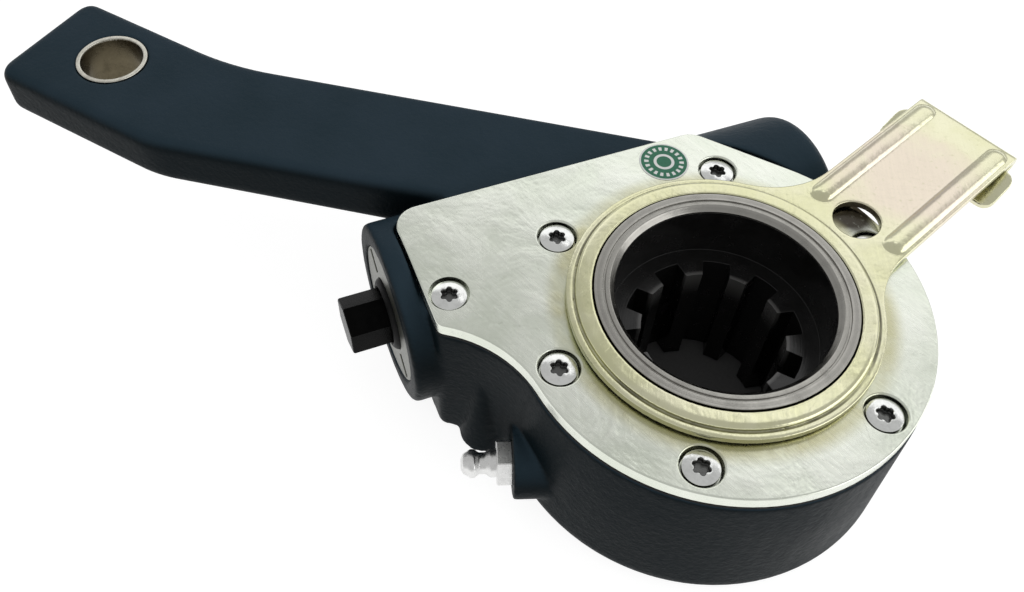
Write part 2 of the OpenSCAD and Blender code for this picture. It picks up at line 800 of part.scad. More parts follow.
module control_sleeve() {
    groove = gasket_top + cover_thickness/2;
    color(steel) difference() {
        tube(control_bore_r, sleeve_r, disc_top, arm_bottom);
        tube(sleeve_r - 1.3, sleeve_r + eps, groove - 0.75, groove + 0.75);
    }
}

module control_o_ring() {
    color(rubber) seal_ring(sleeve_r - 0.65, 0.64, gasket_top + cover_thickness/2);
}

// Frame of the control arm: local X along its centreline
module arm_frame() {
    rotate([0, 0, arm_angle]) translate([0, -arm_offset, 0]) children();
}

// Outline of the arm: its long edges, the hollow blends and the ring
module arm_plan() {
    half = arm_width/2;
    centre = [0, arm_offset];
    high = half + arm_blend;
    upper = [sqrt((ring_r + arm_blend)^2 - (high - arm_offset)^2), high];
    lower = [sqrt((ring_r + arm_blend)^2 - (high + arm_offset)^2), -high];
    upper_touch = atan2(high - arm_offset, upper[0]);
    lower_touch = atan2(-high - arm_offset, lower[0]);
    polygon(concat(
        [[arm_length, -half], [arm_length, half]],
        arc(upper, arm_blend, 270, upper_touch + 180, 10),
        inner_arc(centre, ring_r, upper_touch, 360 + lower_touch, 72),
        arc(lower, arm_blend, lower_touch + 180, 90, 10)));
}

// Side view of the tight fold at the arm's tip
module fold_profile() {
    centre = [arm_length, arm_bottom - fold_r];
    turn = tab_angle - 90;
    polygon(concat(arc(centre, fold_r + arm_thickness, 90, turn, 10), arc(centre, fold_r, turn, 90, 8)));
}

// Tab folded under the arm's tip, with an ear on each side
module arm_tab() {
    half = arm_width/2;
    first = -ear_reach - 1;
    last = -tab_length + ear_reach;
    translate([arm_length, 0, arm_bottom - fold_r]) rotate([0, -tab_angle, 0])
        translate([0, 0, -fold_r - arm_thickness]) linear_extrude(arm_thickness) polygon(concat(
            [[0, -half], [0, half]],
            arc([first, half], ear_reach, 0, 90, 5), arc([last, half], ear_reach, 90, 180, 5),
            arc([last, -half], ear_reach, 180, 270, 5), arc([first, -half], ear_reach, 270, 360, 5)));
}

// Raised collar of the arm's ring round the hub
module arm_collar() {
    round = 1.1;
    foot = arm_bottom + eps;
    rotate_extrude() polygon(concat([[control_bore_r - eps, foot], [collar_r, foot]],
        arc([collar_r - round, collar_top - round], round, 0, 90, 5), [[control_bore_r - eps, collar_top]]));
}

// Fine groove at the foot of the collar
module collar_groove() {
    rotate_extrude() polygon([[collar_r - 0.3, arm_top + 0.3], [collar_r + 0.1, arm_top - 0.4],
        [collar_r + 0.7, arm_top + 0.3]]);
}

// Rounded rib pressed into the arm
module arm_rib(y) {
    from = ring_r + 6;
    length = arm_length - 3 - from;
    intersection() {
        translate([from, y, arm_top + rib_height - rib_r]) rotate([0, 90, 0]) rotate_extrude()
            polygon(concat(arc([0, 0], rib_r, -90, 0, 6), arc([0, length], rib_r, 0, 90, 6)));
        translate([0, -far/2, arm_top - 1]) cube([far, far, far]);
    }
}

module control_arm() {
    color(yellow_zinc) difference() {
        union() {
            arm_frame() {
                translate([0, 0, arm_bottom]) linear_extrude(arm_thickness) arm_plan();
                translate([0, arm_width/2, 0]) rotate([90, 0, 0]) linear_extrude(arm_width) fold_profile();
                arm_tab();
                for (s = [-1, 1]) arm_rib(s*rib_spacing/2);
            }
            arm_collar();
        }
        collar_groove();
        rod(control_bore_r, 0, far);
        arm_frame() translate([arm_hole_along, 0, 0]) rod(arm_hole/2, 0, far);
    }
}

// Tooth of the wheel, set at the worm's lead angle
module wheel_tooth() {
    half = tooth_width/2;
    root_half = half + 1.6*gear_module*flank;
    tip_half = half - gear_module*flank;
    length = wheel_face - 0.9;
    rotate([-lead_angle, 0, 0]) translate([0, 0, -length/2])
        linear_extrude(length) polygon([[wheel_pitch_r - 1.6*gear_module, -root_half],
            [wheel_tip_r, -tip_half], [wheel_tip_r, tip_half], [wheel_pitch_r - 1.6*gear_module, root_half]]);
}

module wheel_rim() {
    translate([0, 0, worm_height])
        for (i = [0:wheel_teeth - 1])
            rotate([0, 0, worm_angle - 90 + 360*(i + 0.5)/wheel_teeth]) wheel_tooth();
    rod(wheel_root_r, teeth_bottom - 1, teeth_top + 1);
}

module spline_plan() {
    circle(r = spline_minor/2);
    intersection() {
        circle(r = spline_major/2);
        for (i = [0:spline_teeth - 1]) rotate(360*i/spline_teeth)
            translate([0, -spline_groove/2]) square([spline_major, spline_groove]);
    }
}

module worm_wheel() {
    foot = 0.4;
    chamfer = 1.2;
    groove = gasket_top + cover_thickness/2;
    color(steel) difference() {
        union() {
            rod(journal_r, foot, teeth_bottom);
            wheel_rim();
            rod(hub_r, teeth_top, hub_top);
        }
        translate([0, 0, -eps]) linear_extrude(far) spline_plan();
        rod(pilot_bore/2, hub_top - pilot_depth, far);
        translate([0, 0, hub_top - chamfer])
            cylinder(r1 = pilot_bore/2, r2 = pilot_bore/2 + 2*chamfer, h = 2*chamfer);
        tube(journal_r - 1.3, journal_r + eps, 6 - 0.75, 6 + 0.75);
        tube(hub_r - 1.3, hub_r + eps, groove - 0.75, groove + 0.75);
        tube(hub_r - 2.4, hub_r - 1.9, hub_top - 0.4, far);
    }
}

module hub_seal() {
    color(rubber) seal_ring(hub_r - 0.65, 0.64, gasket_top + cover_thickness/2);
}

module journal_seal() {
    color(rubber) seal_ring(journal_r - 0.65, 0.64, 6);
}

module front_thrust_washer() {
    color(steel) worm_frame() tube(thrust_in, worm_tip_r, front_washer_face, -worm_end - 0.4);
}

module at_rollers() {
    for (i = [0:roller_count - 1]) translate([0, 0, roller_plane]) rotate([0, 90, 360*i/roller_count])
        children();
}

module thrust_cage() {
    half = 0.8;
    color([0.72, 0.6, 0.3]) worm_frame() difference() {
        tube(thrust_in, worm_tip_r, roller_plane - half, roller_plane + half);
        at_rollers() translate([-far/2, -roller_r - 0.05, thrust_in + 0.9])
            cube([far, 2*roller_r + 0.1, worm_tip_r - thrust_in - 1.8]);
    }
}

module thrust_rollers() {
    color(steel) worm_frame() at_rollers() rod(roller_r, thrust_in + 1, worm_tip_r - 1);
}

module rear_thrust_washer() {
    color(steel) worm_frame() tube(thrust_in, worm_tip_r, spring_seat, rear_washer_face);
}

module clutch_spring() {
    half = spring_wire/2;
    color(steel) worm_frame()
        coil(worm_bore_r - 0.9 - half, half, -worm_floor + half + 0.1, spring_seat - half - 0.1,
            spring_turns, 8, 24);
}

housing();
lever_bush();
cover_plate();
cover_gasket();
cover_screws();
grease_nipple();
end_plug();
plug_o_ring();
hex_seal();
worm_shaft();
clutch_wheel();
one_way_spring();
rack_pinion();
pinion_washer();
rack();
control_disc();
control_sleeve();
control_o_ring();
control_arm();
worm_wheel();
hub_seal();
journal_seal();
front_thrust_washer();
thrust_cage();
thrust_rollers();
rear_thrust_washer();
clutch_spring();
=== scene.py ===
"""Looks of the brake slack adjuster: softened casting, bevelled pieces, finishes, light and camera."""
import json
import math
from collections import namedtuple

import bmesh
import bpy
from mathutils import Matrix, Quaternion, Vector


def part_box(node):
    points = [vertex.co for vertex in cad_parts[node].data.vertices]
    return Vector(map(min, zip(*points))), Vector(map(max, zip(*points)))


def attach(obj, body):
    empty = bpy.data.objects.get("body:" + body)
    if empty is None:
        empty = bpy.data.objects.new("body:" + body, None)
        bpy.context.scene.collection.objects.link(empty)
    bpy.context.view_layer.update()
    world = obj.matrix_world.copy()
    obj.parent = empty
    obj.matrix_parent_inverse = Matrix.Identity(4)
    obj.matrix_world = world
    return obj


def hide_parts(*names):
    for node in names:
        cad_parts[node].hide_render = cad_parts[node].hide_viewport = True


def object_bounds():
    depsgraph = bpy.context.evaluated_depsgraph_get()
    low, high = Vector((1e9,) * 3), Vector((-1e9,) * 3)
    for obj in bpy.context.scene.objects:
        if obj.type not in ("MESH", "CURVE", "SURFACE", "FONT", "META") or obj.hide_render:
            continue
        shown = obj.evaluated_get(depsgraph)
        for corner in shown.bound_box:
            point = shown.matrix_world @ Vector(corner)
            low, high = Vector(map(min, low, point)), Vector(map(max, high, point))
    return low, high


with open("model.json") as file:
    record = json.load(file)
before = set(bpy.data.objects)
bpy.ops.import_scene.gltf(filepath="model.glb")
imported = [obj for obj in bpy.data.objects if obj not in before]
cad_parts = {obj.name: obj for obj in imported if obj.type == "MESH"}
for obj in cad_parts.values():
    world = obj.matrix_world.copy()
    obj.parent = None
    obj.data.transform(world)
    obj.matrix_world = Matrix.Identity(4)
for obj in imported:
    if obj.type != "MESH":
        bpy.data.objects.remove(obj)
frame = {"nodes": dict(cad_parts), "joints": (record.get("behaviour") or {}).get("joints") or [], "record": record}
cad_low, cad_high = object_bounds()
nodes = frame["nodes"]
record = frame["record"]
joints = {joint["name"]: joint for joint in frame["joints"]}
body_of_node = {node: body for body, members in record["behaviour"]["bodies"].items() for node in members}
slot_of_node = {subpart["node"]: subpart["material_slot"] for subpart in record["subparts"]}

MM = 0.001
UP = Vector((0, 0, 1))


# Places read from the frame, in metres

def extent(node, axis):
    """Lowest and highest place of a node along an axis."""
    places = [vertex.co.dot(axis) for vertex in nodes[node].data.vertices]
    return min(places), max(places)


hub_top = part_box("worm_wheel")[1].z
cover_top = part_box("cover_plate")[1].z
lever_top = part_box("lever_bush")[1].z
screw_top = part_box("cover_screws")[1].z
worm_middle = Vector(joints["worm_turn"]["pos_m"])
worm_axis = Vector(joints["worm_turn"]["axis"])
plug_end = extent("end_plug", worm_axis)[1]
rack_axis = Vector(joints["rack_slide"]["axis"])
rack_travel = joints["rack_slide"]["range_m"][1]
rack_across = extent("rack", rack_axis)
rack_along = extent("rack", worm_axis)
rack_height = extent("rack", UP)

# Places and sizes that the frame doesn't name, in metres
corner_screw = Vector((54.46, 26.38)) * MM
corner_screw_room = 5.3 * MM
spline_minor_radius = 16.7 * MM
spline_top = 34 * MM
arm_gap = 0.7 * MM
arm_thickness = 2 * MM
arm_top = cover_top + arm_gap + arm_thickness


# Shader helpers

NOISE_LOW = 0.3
NOISE_HIGH = 0.7


def make(tree, kind, inputs=None, **settings):
    """One shader node with its settings, and its inputs set to a value or linked to a socket."""
    node = tree.nodes.new(kind)
    for name, value in settings.items():
        setattr(node, name, value)
    for name, value in (inputs or {}).items():
        if isinstance(value, bpy.types.NodeSocket):
            tree.links.new(value, node.inputs[name])
        else:
            node.inputs[name].default_value = value
    return node


def start(name, **surface):
    """A material with a Principled surface and its coordinates in millimetres of the part's frame."""
    material = bpy.data.materials.new(name)
    material.use_nodes = True
    tree = material.node_tree
    tree.nodes.clear()
    shader = make(tree, "ShaderNodeBsdfPrincipled", surface)
    make(tree, "ShaderNodeOutputMaterial", {"Surface": shader.outputs[0]})
    place = make(tree, "ShaderNodeTexCoord").outputs["Object"]
    per_metre = (1 / MM, 1 / MM, 1 / MM)
    millimetres = make(tree, "ShaderNodeVectorMath", {0: place, 1: per_metre}, operation="MULTIPLY")
    return material, tree, shader, millimetres.outputs[0]


def feed(tree, shader, inputs):
    """Links values that vary over the surface to its inputs."""
    for name, value in inputs.items():
        tree.links.new(value, shader.inputs[name])


def noise(tree, place, scale, detail=3, roughness=0.55, distortion=0.0):
    """Noise with a number of marks per millimetre."""
    inputs = {"Vector": place, "Scale": scale, "Detail": detail}
    inputs.update({"Roughness": roughness, "Distortion": distortion})
    return make(tree, "ShaderNodeTexNoise", inputs).outputs["Fac"]


def stretched(tree, place, along, turn):
    """Coordinates stretched along X after a turn about Z, for brushed and drawn marks."""
    turned = make(tree, "ShaderNodeMapping", {"Vector": place, "Rotation": (0, 0, math.radians(turn))})
    scaled = {"Vector": turned.outputs[0], "Scale": (1 / along, 1, 1)}
    return make(tree, "ShaderNodeMapping", scaled).outputs[0]


def spread(tree, value, low, high, to_low=0.0, to_high=1.0, smooth=False):
    """A value's range mapped to another range."""
    inputs = {"Value": value, "From Min": low, "From Max": high, "To Min": to_low, "To Max": to_high}
    kind = "SMOOTHSTEP" if smooth else "LINEAR"
    return make(tree, "ShaderNodeMapRange", inputs, interpolation_type=kind, clamp=True).outputs["Result"]


def from_noise(tree, value, to_low=0.0, to_high=1.0, smooth=False):
    """The range that a noise mostly covers, mapped to another range."""
    return spread(tree, value, NOISE_LOW, NOISE_HIGH, to_low, to_high, smooth)


def mix(tree, share, first, second):
    """Two colours mixed by a share."""
    node = make(tree, "ShaderNodeMix", data_type="RGBA")
    sockets = (node.inputs["Factor"], node.inputs[6], node.inputs[7])
    for socket, value in zip(sockets, (share, first, second)):
        if isinstance(value, bpy.types.NodeSocket):
            tree.links.new(value, socket)
        else:
            socket.default_value = value if socket.type == "VALUE" else (*value, 1.0)
    return node.outputs[2]


def shade(colour, share):
    """A colour with all its channels times a share."""
    return [channel * share for channel in colour]


def calculate(tree, operation, first, second=0.0):
    """One sum, product or other operation on two values."""
    return make(tree, "ShaderNodeMath", {0: first, 1: second}, operation=operation).outputs[0]


def weigh(tree, first, second, share):
    """Two values added, the first by a share and the second by the rest."""
    first_part = calculate(tree, "MULTIPLY", first, share)
    second_part = calculate(tree, "MULTIPLY", second, 1 - share)
    return calculate(tree, "ADD", first_part, second_part)


def bump(tree, shader, *layers):
    """Bumps of a height in millimetres, one over the other."""
    normal = None
    for height, depth in layers:
        inputs = {"Height": height, "Distance": depth * MM, "Strength": 1.0}
        if normal is not None:
            inputs["Normal"] = normal
        normal = make(tree, "ShaderNodeBump", inputs).outputs[0]
    feed(tree, shader, {"Normal": normal})


def near(tree, value, middle, reach):
    """One where a value lies within a reach of the middle, otherwise zero."""
    return make(tree, "ShaderNodeMath", {0: value, 1: middle, 2: reach}, operation="COMPARE").outputs[0]


def offset_from(tree, place, point):
    """A place as seen from a point in millimetres."""
    return make(tree, "ShaderNodeVectorMath", {0: place, 1: point}, operation="SUBTRACT").outputs[0]


def parts_of(tree, place):
    """X, Y and Z of a place, and its distance from the Z axis."""
    axes = make(tree, "ShaderNodeSeparateXYZ", {0: place}).outputs
    flat = make(tree, "ShaderNodeCombineXYZ", {0: axes[0], 1: axes[1]}).outputs[0]
    radius = make(tree, "ShaderNodeVectorMath", {0: flat}, operation="LENGTH").outputs["Value"]
    return axes[0], axes[1], axes[2], radius


# Finishes, with places and sizes in millimetres

NO_LIMIT = 100.0
Ring = namedtuple("Ring", "colour radius half_width top")
Patch = namedtuple("Patch", "colour x y reach")
# where painted light makes the tips of a dark bore paler: radius, top and foot
LitTips = namedtuple("LitTips", "radius top foot")
NO_LIT_TIPS = LitTips(0, 0, 0)


def painted_casting():
    """Satin blue-black paint over the grain of a casting, with painted light making the faces that look up paler
    and painted shade making the flanks darker.
    """
    surface = {"Metallic": 0.0, "Specular IOR Level": 0.035}
    material, tree, shader, place = start("painted_casting", **surface)
    patches = noise(tree, place, 0.05)
    grain = noise(tree, place, 0.75, detail=4, roughness=0.6)
    pores = noise(tree, place, 3.2, detail=2)
    normal = make(tree, "ShaderNodeNewGeometry").outputs["Normal"]
    upward = make(tree, "ShaderNodeSeparateXYZ", {0: normal}).outputs[2]
    patchy = from_noise(tree, patches)
    # painted light and shade: the faces that look up are paler and the flanks much darker
    lit_top = mix(tree, patchy, (0.0200, 0.036, 0.048), (0.0270, 0.0445, 0.060))
    painted_shading = mix(tree, patchy, (0.0030, 0.0062, 0.0078), (0.0046, 0.0082, 0.0104))
    colour = mix(tree, spread(tree, upward, 0.2, 0.95, smooth=True), painted_shading, lit_top)
    rough = spread(tree, weigh(tree, patches, grain, 0.6), 0.35, 0.65, 0.36, 0.5)
    feed(tree, shader, {"Base Color": colour, "Roughness": rough})
    bump(tree, shader, (grain, 0.16), (pores, 0.035))
    return material


def plated_sheet(name, base, tint, roughness, grain_turn, ring, patch):
    """Plated steel sheet with a cloudy tint, rolling lines and scuffs.

    The ring is a tint about the camshaft axis, up to its top: on the cover a stain with painted reflection and
    shade of the arm's ring, on the arm painted shade in the collar's groove. The patch is a tint about a point: on
    the cover a painted shadow under the arm's hole, on the arm a pink tint.
    """
    material, tree, shader, place = start(name, **{"Metallic": 1.0})
    _, _, height, radius = parts_of(tree, place)
    clouds = noise(tree, place, 0.06, detail=4, roughness=0.6, distortion=0.4)
    lines = noise(tree, stretched(tree, place, along=14, turn=grain_turn), 1.6)
    scuffs = noise(tree, stretched(tree, place, along=30, turn=grain_turn + 37), 2.4, detail=2)
    spots = noise(tree, place, 0.8)
    colour = mix(tree, from_noise(tree, clouds, smooth=True), base, tint)

    # the patch: a painted shadow under the arm's hole on the cover, a pink tint on the arm
    away = parts_of(tree, offset_from(tree, place, (patch.x, patch.y, 0)))[3]
    uneven = calculate(tree, "ADD", away, from_noise(tree, clouds, -patch.reach / 4, patch.reach / 4))
    in_patch = spread(tree, uneven, 0.4 * patch.reach, patch.reach, 0.97, 0, smooth=True)
    colour = mix(tree, in_patch, colour, patch.colour)
    colour = mix(tree, spread(tree, spots, 0.6, 0.8, 0, 0.45), colour, shade(base, 0.72))

    # the ring: painted reflection and shade of the arm's ring with a stain on the cover, painted shade in the
    # groove on the arm
    off_ring = calculate(tree, "ABSOLUTE", calculate(tree, "SUBTRACT", radius, ring.radius))
    in_ring = spread(tree, off_ring, 0.3 * ring.half_width, ring.half_width, 0.9, 0, smooth=True)
    in_ring = calculate(tree, "MULTIPLY", in_ring, calculate(tree, "LESS_THAN", height, ring.top))
    in_ring = calculate(tree, "MULTIPLY", in_ring, spread(tree, clouds, 0.3, 0.6, 0.2, 0.9))
    colour = mix(tree, in_ring, colour, ring.colour)

    rough = from_noise(tree, weigh(tree, clouds, lines, 0.5), roughness - 0.07, roughness + 0.09)
    feed(tree, shader, {"Base Color": colour, "Roughness": rough})
    scratches = spread(tree, scuffs, 0.68, 0.8)
    bump(tree, shader, (clouds, 0.3), (lines, 0.012), (scratches, 0.01))
    return material


def turned_steel(name, base, roughness, pitch, dark_below, dark, dark_metal=1.0, lit_tips=NO_LIT_TIPS):
    """Steel turned on a lathe about the camshaft axis. Below a height it is darker.

    The dark metal is how far the darker part still reflects as metal does. On lit tips, within a radius and
    from a foot up to a top, painted light makes it paler, most towards the top.
    """
    material, tree, shader, place = start(name)
    _, _, height, radius = parts_of(tree, place)
    ring_place = make(tree, "ShaderNodeCombineXYZ", {0: radius, 2: height}).outputs[0]
    rings = noise(tree, ring_place, 1 / pitch)
    bands = noise(tree, ring_place, 0.8, detail=1)
    stains = noise(tree, place, 0.25, detail=4, roughness=0.65)
    colour = mix(tree, spread(tree, bands, 0.35, 0.65), base, shade(base, 0.78))
    colour = mix(tree, spread(tree, stains, 0.5, 0.72, 0, 0.5), colour, shade(base, 0.6))

    # below the height: a darker colour with random stains
    low_colour = mix(tree, spread(tree, stains, 0.35, 0.65), shade(dark, 0.6), dark)
    # painted light: the spline's tooth tips paler toward the top of the bore
    rubbed = spread(tree, radius, lit_tips.radius, lit_tips.radius + 0.6, 1, 0)
    rubbed = calculate(tree, "MULTIPLY", rubbed, spread(tree, height, lit_tips.foot, lit_tips.top, smooth=True))
    low_colour = mix(tree, rubbed, low_colour, shade(dark, 9))
    bright = spread(tree, height, dark_below - 0.1, dark_below + 0.1)
    colour = mix(tree, bright, low_colour, colour)

    metal = spread(tree, bright, 0, 1, dark_metal, 1)
    rough = from_noise(tree, stains, roughness - 0.05, roughness + 0.1)
    feed(tree, shader, {"Base Color": colour, "Metallic": metal, "Roughness": rough})
    bump(tree, shader, (rings, 0.02), (stains, 0.02))
    return material


def bright_plating(name, base, roughness, grime=0.35, dark_below=-NO_LIMIT, axis=UP):
    """Bright metal of small pieces, with grime in its clouds and painted shade below a height on an axis."""
    material, tree, shader, place = start(name, **{"Metallic": 1.0})
    clouds = noise(tree, place, 0.45, detail=4, roughness=0.6)
    fine = noise(tree, place, 2.6)
    colour = mix(tree, spread(tree, clouds, 0.45, 0.75, 0, grime), base, shade(base, 0.45))
    along = make(tree, "ShaderNodeVectorMath", {0: place, 1: axis}, operation="DOT_PRODUCT")
    # painted shade: below the height the colour drops to a sixth, for the screws' sockets and the plug's slots
    painted_shading = spread(tree, along.outputs["Value"], dark_below - 0.3, dark_below)
    colour = mix(tree, painted_shading, shade(base, 0.16), colour)
    rough = from_noise(tree, fine, roughness - 0.05, roughness + 0.08)
    feed(tree, shader, {"Base Color": colour, "Roughness": rough})
    bump(tree, shader, (fine, 0.012), (clouds, 0.03))
    return material


def black_oxide():
    """Oiled black finish of the adjusting hexagon and the worm."""
    surface = {"Metallic": 0.0, "Specular IOR Level": 0.035}
    material, tree, shader, place = start("black_oxide", **surface)
    clouds = noise(tree, place, 0.5)
    fine = noise(tree, place, 3.0, detail=2)
    cloudy = spread(tree, clouds, 0.35, 0.65)
    colour = mix(tree, cloudy, (0.0010, 0.0010, 0.0010), (0.0026, 0.0025, 0.0024))
    feed(tree, shader, {"Base Color": colour, "Roughness": from_noise(tree, fine, 0.2, 0.32)})
    bump(tree, shader, (fine, 0.02))
    return material


def moulded_rubber():
    """Matte black rubber with a faint dusty bloom."""
    surface = {"Metallic": 0.0, "Specular IOR Level": 0.1}
    material, tree, shader, place = start("moulded_rubber", **surface)
    bloom = noise(tree, place, 0.6, detail=4)
    fine = noise(tree, place, 4.0, detail=2)
    colour = mix(tree, spread(tree, bloom, 0.4, 0.7), (0.004, 0.004, 0.004), (0.009, 0.009, 0.009))
    feed(tree, shader, {"Base Color": colour, "Roughness": from_noise(tree, bloom, 0.45, 0.62)})
    bump(tree, shader, (fine, 0.03))
    return material


def printed_dot(centre, radius):
    """Generic round label: a green field with plain white rings and a ring of ticks.

    The rim starts at a share of the radius. The inner ring and the ticks have a middle and a half width.
    """
    rim = 0.93
    inner_ring = (0.36, 0.06)
    tick_ring = (0.71, 0.09)
    tick_count = 18
    surface = {"Metallic": 0.0, "Specular IOR Level": 0.4}
    material, tree, shader, place = start("printed_dot", **surface)
    middle = tuple(axis / MM for axis in centre)
    across, along, _, distance = parts_of(tree, offset_from(tree, place, middle))
    share = calculate(tree, "DIVIDE", distance, radius / MM)
    wear = noise(tree, place, 1.5)
    green = mix(tree, from_noise(tree, wear), (0.008, 0.13, 0.065), (0.016, 0.17, 0.09))
    turn = calculate(tree, "ARCTAN2", along, across)
    wave = calculate(tree, "SINE", calculate(tree, "MULTIPLY", turn, tick_count))
    in_tick = calculate(tree, "GREATER_THAN", wave, 0.0)
    ticks = calculate(tree, "MULTIPLY", near(tree, share, *tick_ring), in_tick)
    on_rim = calculate(tree, "GREATER_THAN", share, rim)
    rings = calculate(tree, "MAXIMUM", on_rim, near(tree, share, *inner_ring))
    white = calculate(tree, "MAXIMUM", rings, ticks)
    colour = mix(tree, white, green, (0.78, 0.8, 0.78))
    feed(tree, shader, {"Base Color": colour, "Roughness": from_noise(tree, wear, 0.28, 0.4)})
    bump(tree, shader, (wear, 0.02))
    return material


# Heights where a finish changes (on the screws and the plug, to painted shade), and the tints of the plated
# sheets: stains, painted shade and a painted reflection
bush_bright_above = lever_top / MM - 0.5
# below these heights, painted shade darkens the screws' sockets and the plug's slots
screws_bright_above = screw_top / MM - 0.5
plug_bright_beyond = plug_end / MM - 0.1
hub_bright_above = hub_top / MM - 1.6
# painted light on the spline's tooth tips, paler toward the top of the bore
spline_lit_tips = LitTips(radius=spline_minor_radius / MM + 0.5, top=spline_top / MM, foot=spline_top / MM - 9)
# painted reflection and shade of the arm's yellow ring on the cover, with a yellow stain
cover_ring_reflection_and_stain = Ring(colour=(0.50, 0.48, 0.27), radius=34.5, half_width=6.0, top=NO_LIMIT)
# painted shadow on the cover under the arm's hole
cover_shade_under_arm_hole = Patch(colour=(0.028, 0.022, 0.016), x=-18.0, y=-38.8, reach=9.0)
# painted shade in the groove between the arm's collar and its flange
arm_groove_shade = Ring(colour=(0.03, 0.027, 0.012), radius=33.4, half_width=0.5, top=arm_top / MM + 0.15)
arm_bloom = Patch(colour=(0.70, 0.62, 0.515), x=-27, y=-56, reach=24)

rubber = moulded_rubber()
finishes = {
    "painted_casting": painted_casting(),
    "bush_steel": turned_steel("bush_steel", (0.70, 0.68, 0.60), roughness=0.26, pitch=0.35,
                               dark_below=bush_bright_above, dark=(0.13, 0.11, 0.07)),
    "zinc_cover": plated_sheet("zinc_cover", (0.71, 0.75, 0.65), (0.81, 0.835, 0.755), roughness=0.24,
                               grain_turn=20, ring=cover_ring_reflection_and_stain, patch=cover_shade_under_arm_hole),
    "gasket": rubber,
    "zinc_screws": bright_plating("zinc_screws", (0.80, 0.81, 0.79), roughness=0.17, grime=0.3,
                                  dark_below=screws_bright_above),
    "bright_nipple": bright_plating("bright_nipple", (0.78, 0.78, 0.77), roughness=0.3, grime=0.25),
    "plug_steel": bright_plating("plug_steel", (0.148, 0.152, 0.13), roughness=0.36,
                                 dark_below=plug_bright_beyond, axis=worm_axis),
    "rubber": rubber,
    "black_steel": black_oxide(),
    "gear_steel": bright_plating("gear_steel", (0.46, 0.46, 0.45), roughness=0.3),
    "spring_steel": bright_plating("spring_steel", (0.32, 0.33, 0.35), roughness=0.3),
    "yellow_zinc": plated_sheet("yellow_zinc", (0.655, 0.65, 0.41), (0.745, 0.73, 0.53), roughness=0.19,
                                grain_turn=66, ring=arm_groove_shade, patch=arm_bloom),
    "hub_steel": turned_steel("hub_steel", (0.40, 0.39, 0.36), roughness=0.2, pitch=0.3,
                              dark_below=hub_bright_above, dark=(0.011, 0.0108, 0.0105), dark_metal=0.1,
                              lit_tips=spline_lit_tips),
    "cage_brass": bright_plating("cage_brass", (0.72, 0.55, 0.24), roughness=0.3),
}
for node, slot in slot_of_node.items():
    nodes[node].data.materials.clear()
    nodes[node].data.materials.append(finishes[slot])


# Pieces

WELD = 1e-7
FLAT = math.radians(0.4)
SHARP = math.radians(32)
BEVEL_SEGMENTS = 3
ROUND_PROFILE = 0.5
SMOOTHING = 0.5
VOXELS_DRAWN_BACK = 0.8


def add_piece(name, mesh, body, slot):
    """A new piece that rides on a body, with a slot's finish unless its mesh has one."""
    piece = bpy.data.objects.new(name, mesh)
    bpy.context.scene.collection.objects.link(piece)
    if not mesh.materials:
        mesh.materials.append(finishes[slot])
    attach(piece, body)
    return piece


def welded(node):
    """A mesh with a node's name, and the node's shape, welded at its corners, to be written into it."""
    source = nodes[node].data
    mesh = bpy.data.meshes.new(node)
    corners = [vertex.co for vertex in source.vertices]
    mesh.from_pydata(corners, [], [face.vertices[:] for face in source.polygons])
    shape = bmesh.new()
    shape.from_mesh(mesh)
    bmesh.ops.remove_doubles(shape, verts=shape.verts, dist=WELD)
    bmesh.ops.dissolve_degenerate(shape, dist=WELD, edges=shape.edges)
    return mesh, shape


def bevelled(node, width, shows):
    """A node with its flat faces joined and its sharp edges broken by a small round, where they show."""
    def shown_edges():
        return [edge for edge in shape.edges if all(shows(vertex.co) for vertex in edge.verts)]

    mesh, shape = welded(node)
    corners = [vertex for vertex in shape.verts if shows(vertex.co)]
    bmesh.ops.dissolve_limit(shape, angle_limit=FLAT, verts=corners, edges=shown_edges())
    folds = [edge for edge in shown_edges() if len(edge.link_faces) == 2]
    sharp = [edge for edge in folds if edge.calc_face_angle() > SHARP]
    bmesh.ops.bevel(shape, geom=sharp, offset=width, segments=BEVEL_SEGMENTS, profile=ROUND_PROFILE,
                    affect="EDGES")
    for face in shape.faces:
        face.smooth = True
    shape.to_mesh(mesh)
    shape.free()
    mesh.set_sharp_from_angle(angle=SHARP)
    piece = add_piece(node + "_dressed", mesh, body_of_node[node], slot_of_node[node])
    shading = piece.modifiers.new("even_faces", "WEIGHTED_NORMAL")
    shading.keep_sharp = True
    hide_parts(node)
    return piece


def softened(node, voxel, rounds, yields):
    """A node with the rounded edges and filled corners of a casting or a pressing, where it yields.

    Elsewhere it draws back by most of a voxel, so that corners of the skin leave room for what moves there.
    """
    mesh, shape = welded(node)
    shape.to_mesh(mesh)
    shape.free()
    piece = add_piece(node + "_soft", mesh, body_of_node[node], slot_of_node[node])
    skin = piece.modifiers.new("skin", "REMESH")
    skin.mode = "VOXEL"
    skin.voxel_size = voxel
    skin.use_smooth_shade = True
    remeshed = piece.evaluated_get(bpy.context.evaluated_depsgraph_get())
    piece.data = bpy.data.meshes.new_from_object(remeshed)
    piece.modifiers.clear()
    places = [vertex.co.copy() for vertex in piece.data.vertices]
    normals = [vertex.normal.copy() for vertex in piece.data.vertices]
    yielding = piece.vertex_groups.new(name="yielding")
    yielding.add([index for index, place in enumerate(places) if yields(place)], 1.0, "REPLACE")
    for vertex, place, normal in zip(piece.data.vertices, places, normals):
        if not yields(place):
            vertex.co = place - normal * voxel * VOXELS_DRAWN_BACK
    soft = piece.modifiers.new("soft", "SMOOTH")
    soft.factor = SMOOTHING
    soft.iterations = rounds
    soft.vertex_group = yielding.name
    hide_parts(node)
    return piece


def everywhere(point):
    """True at any point."""
    return True


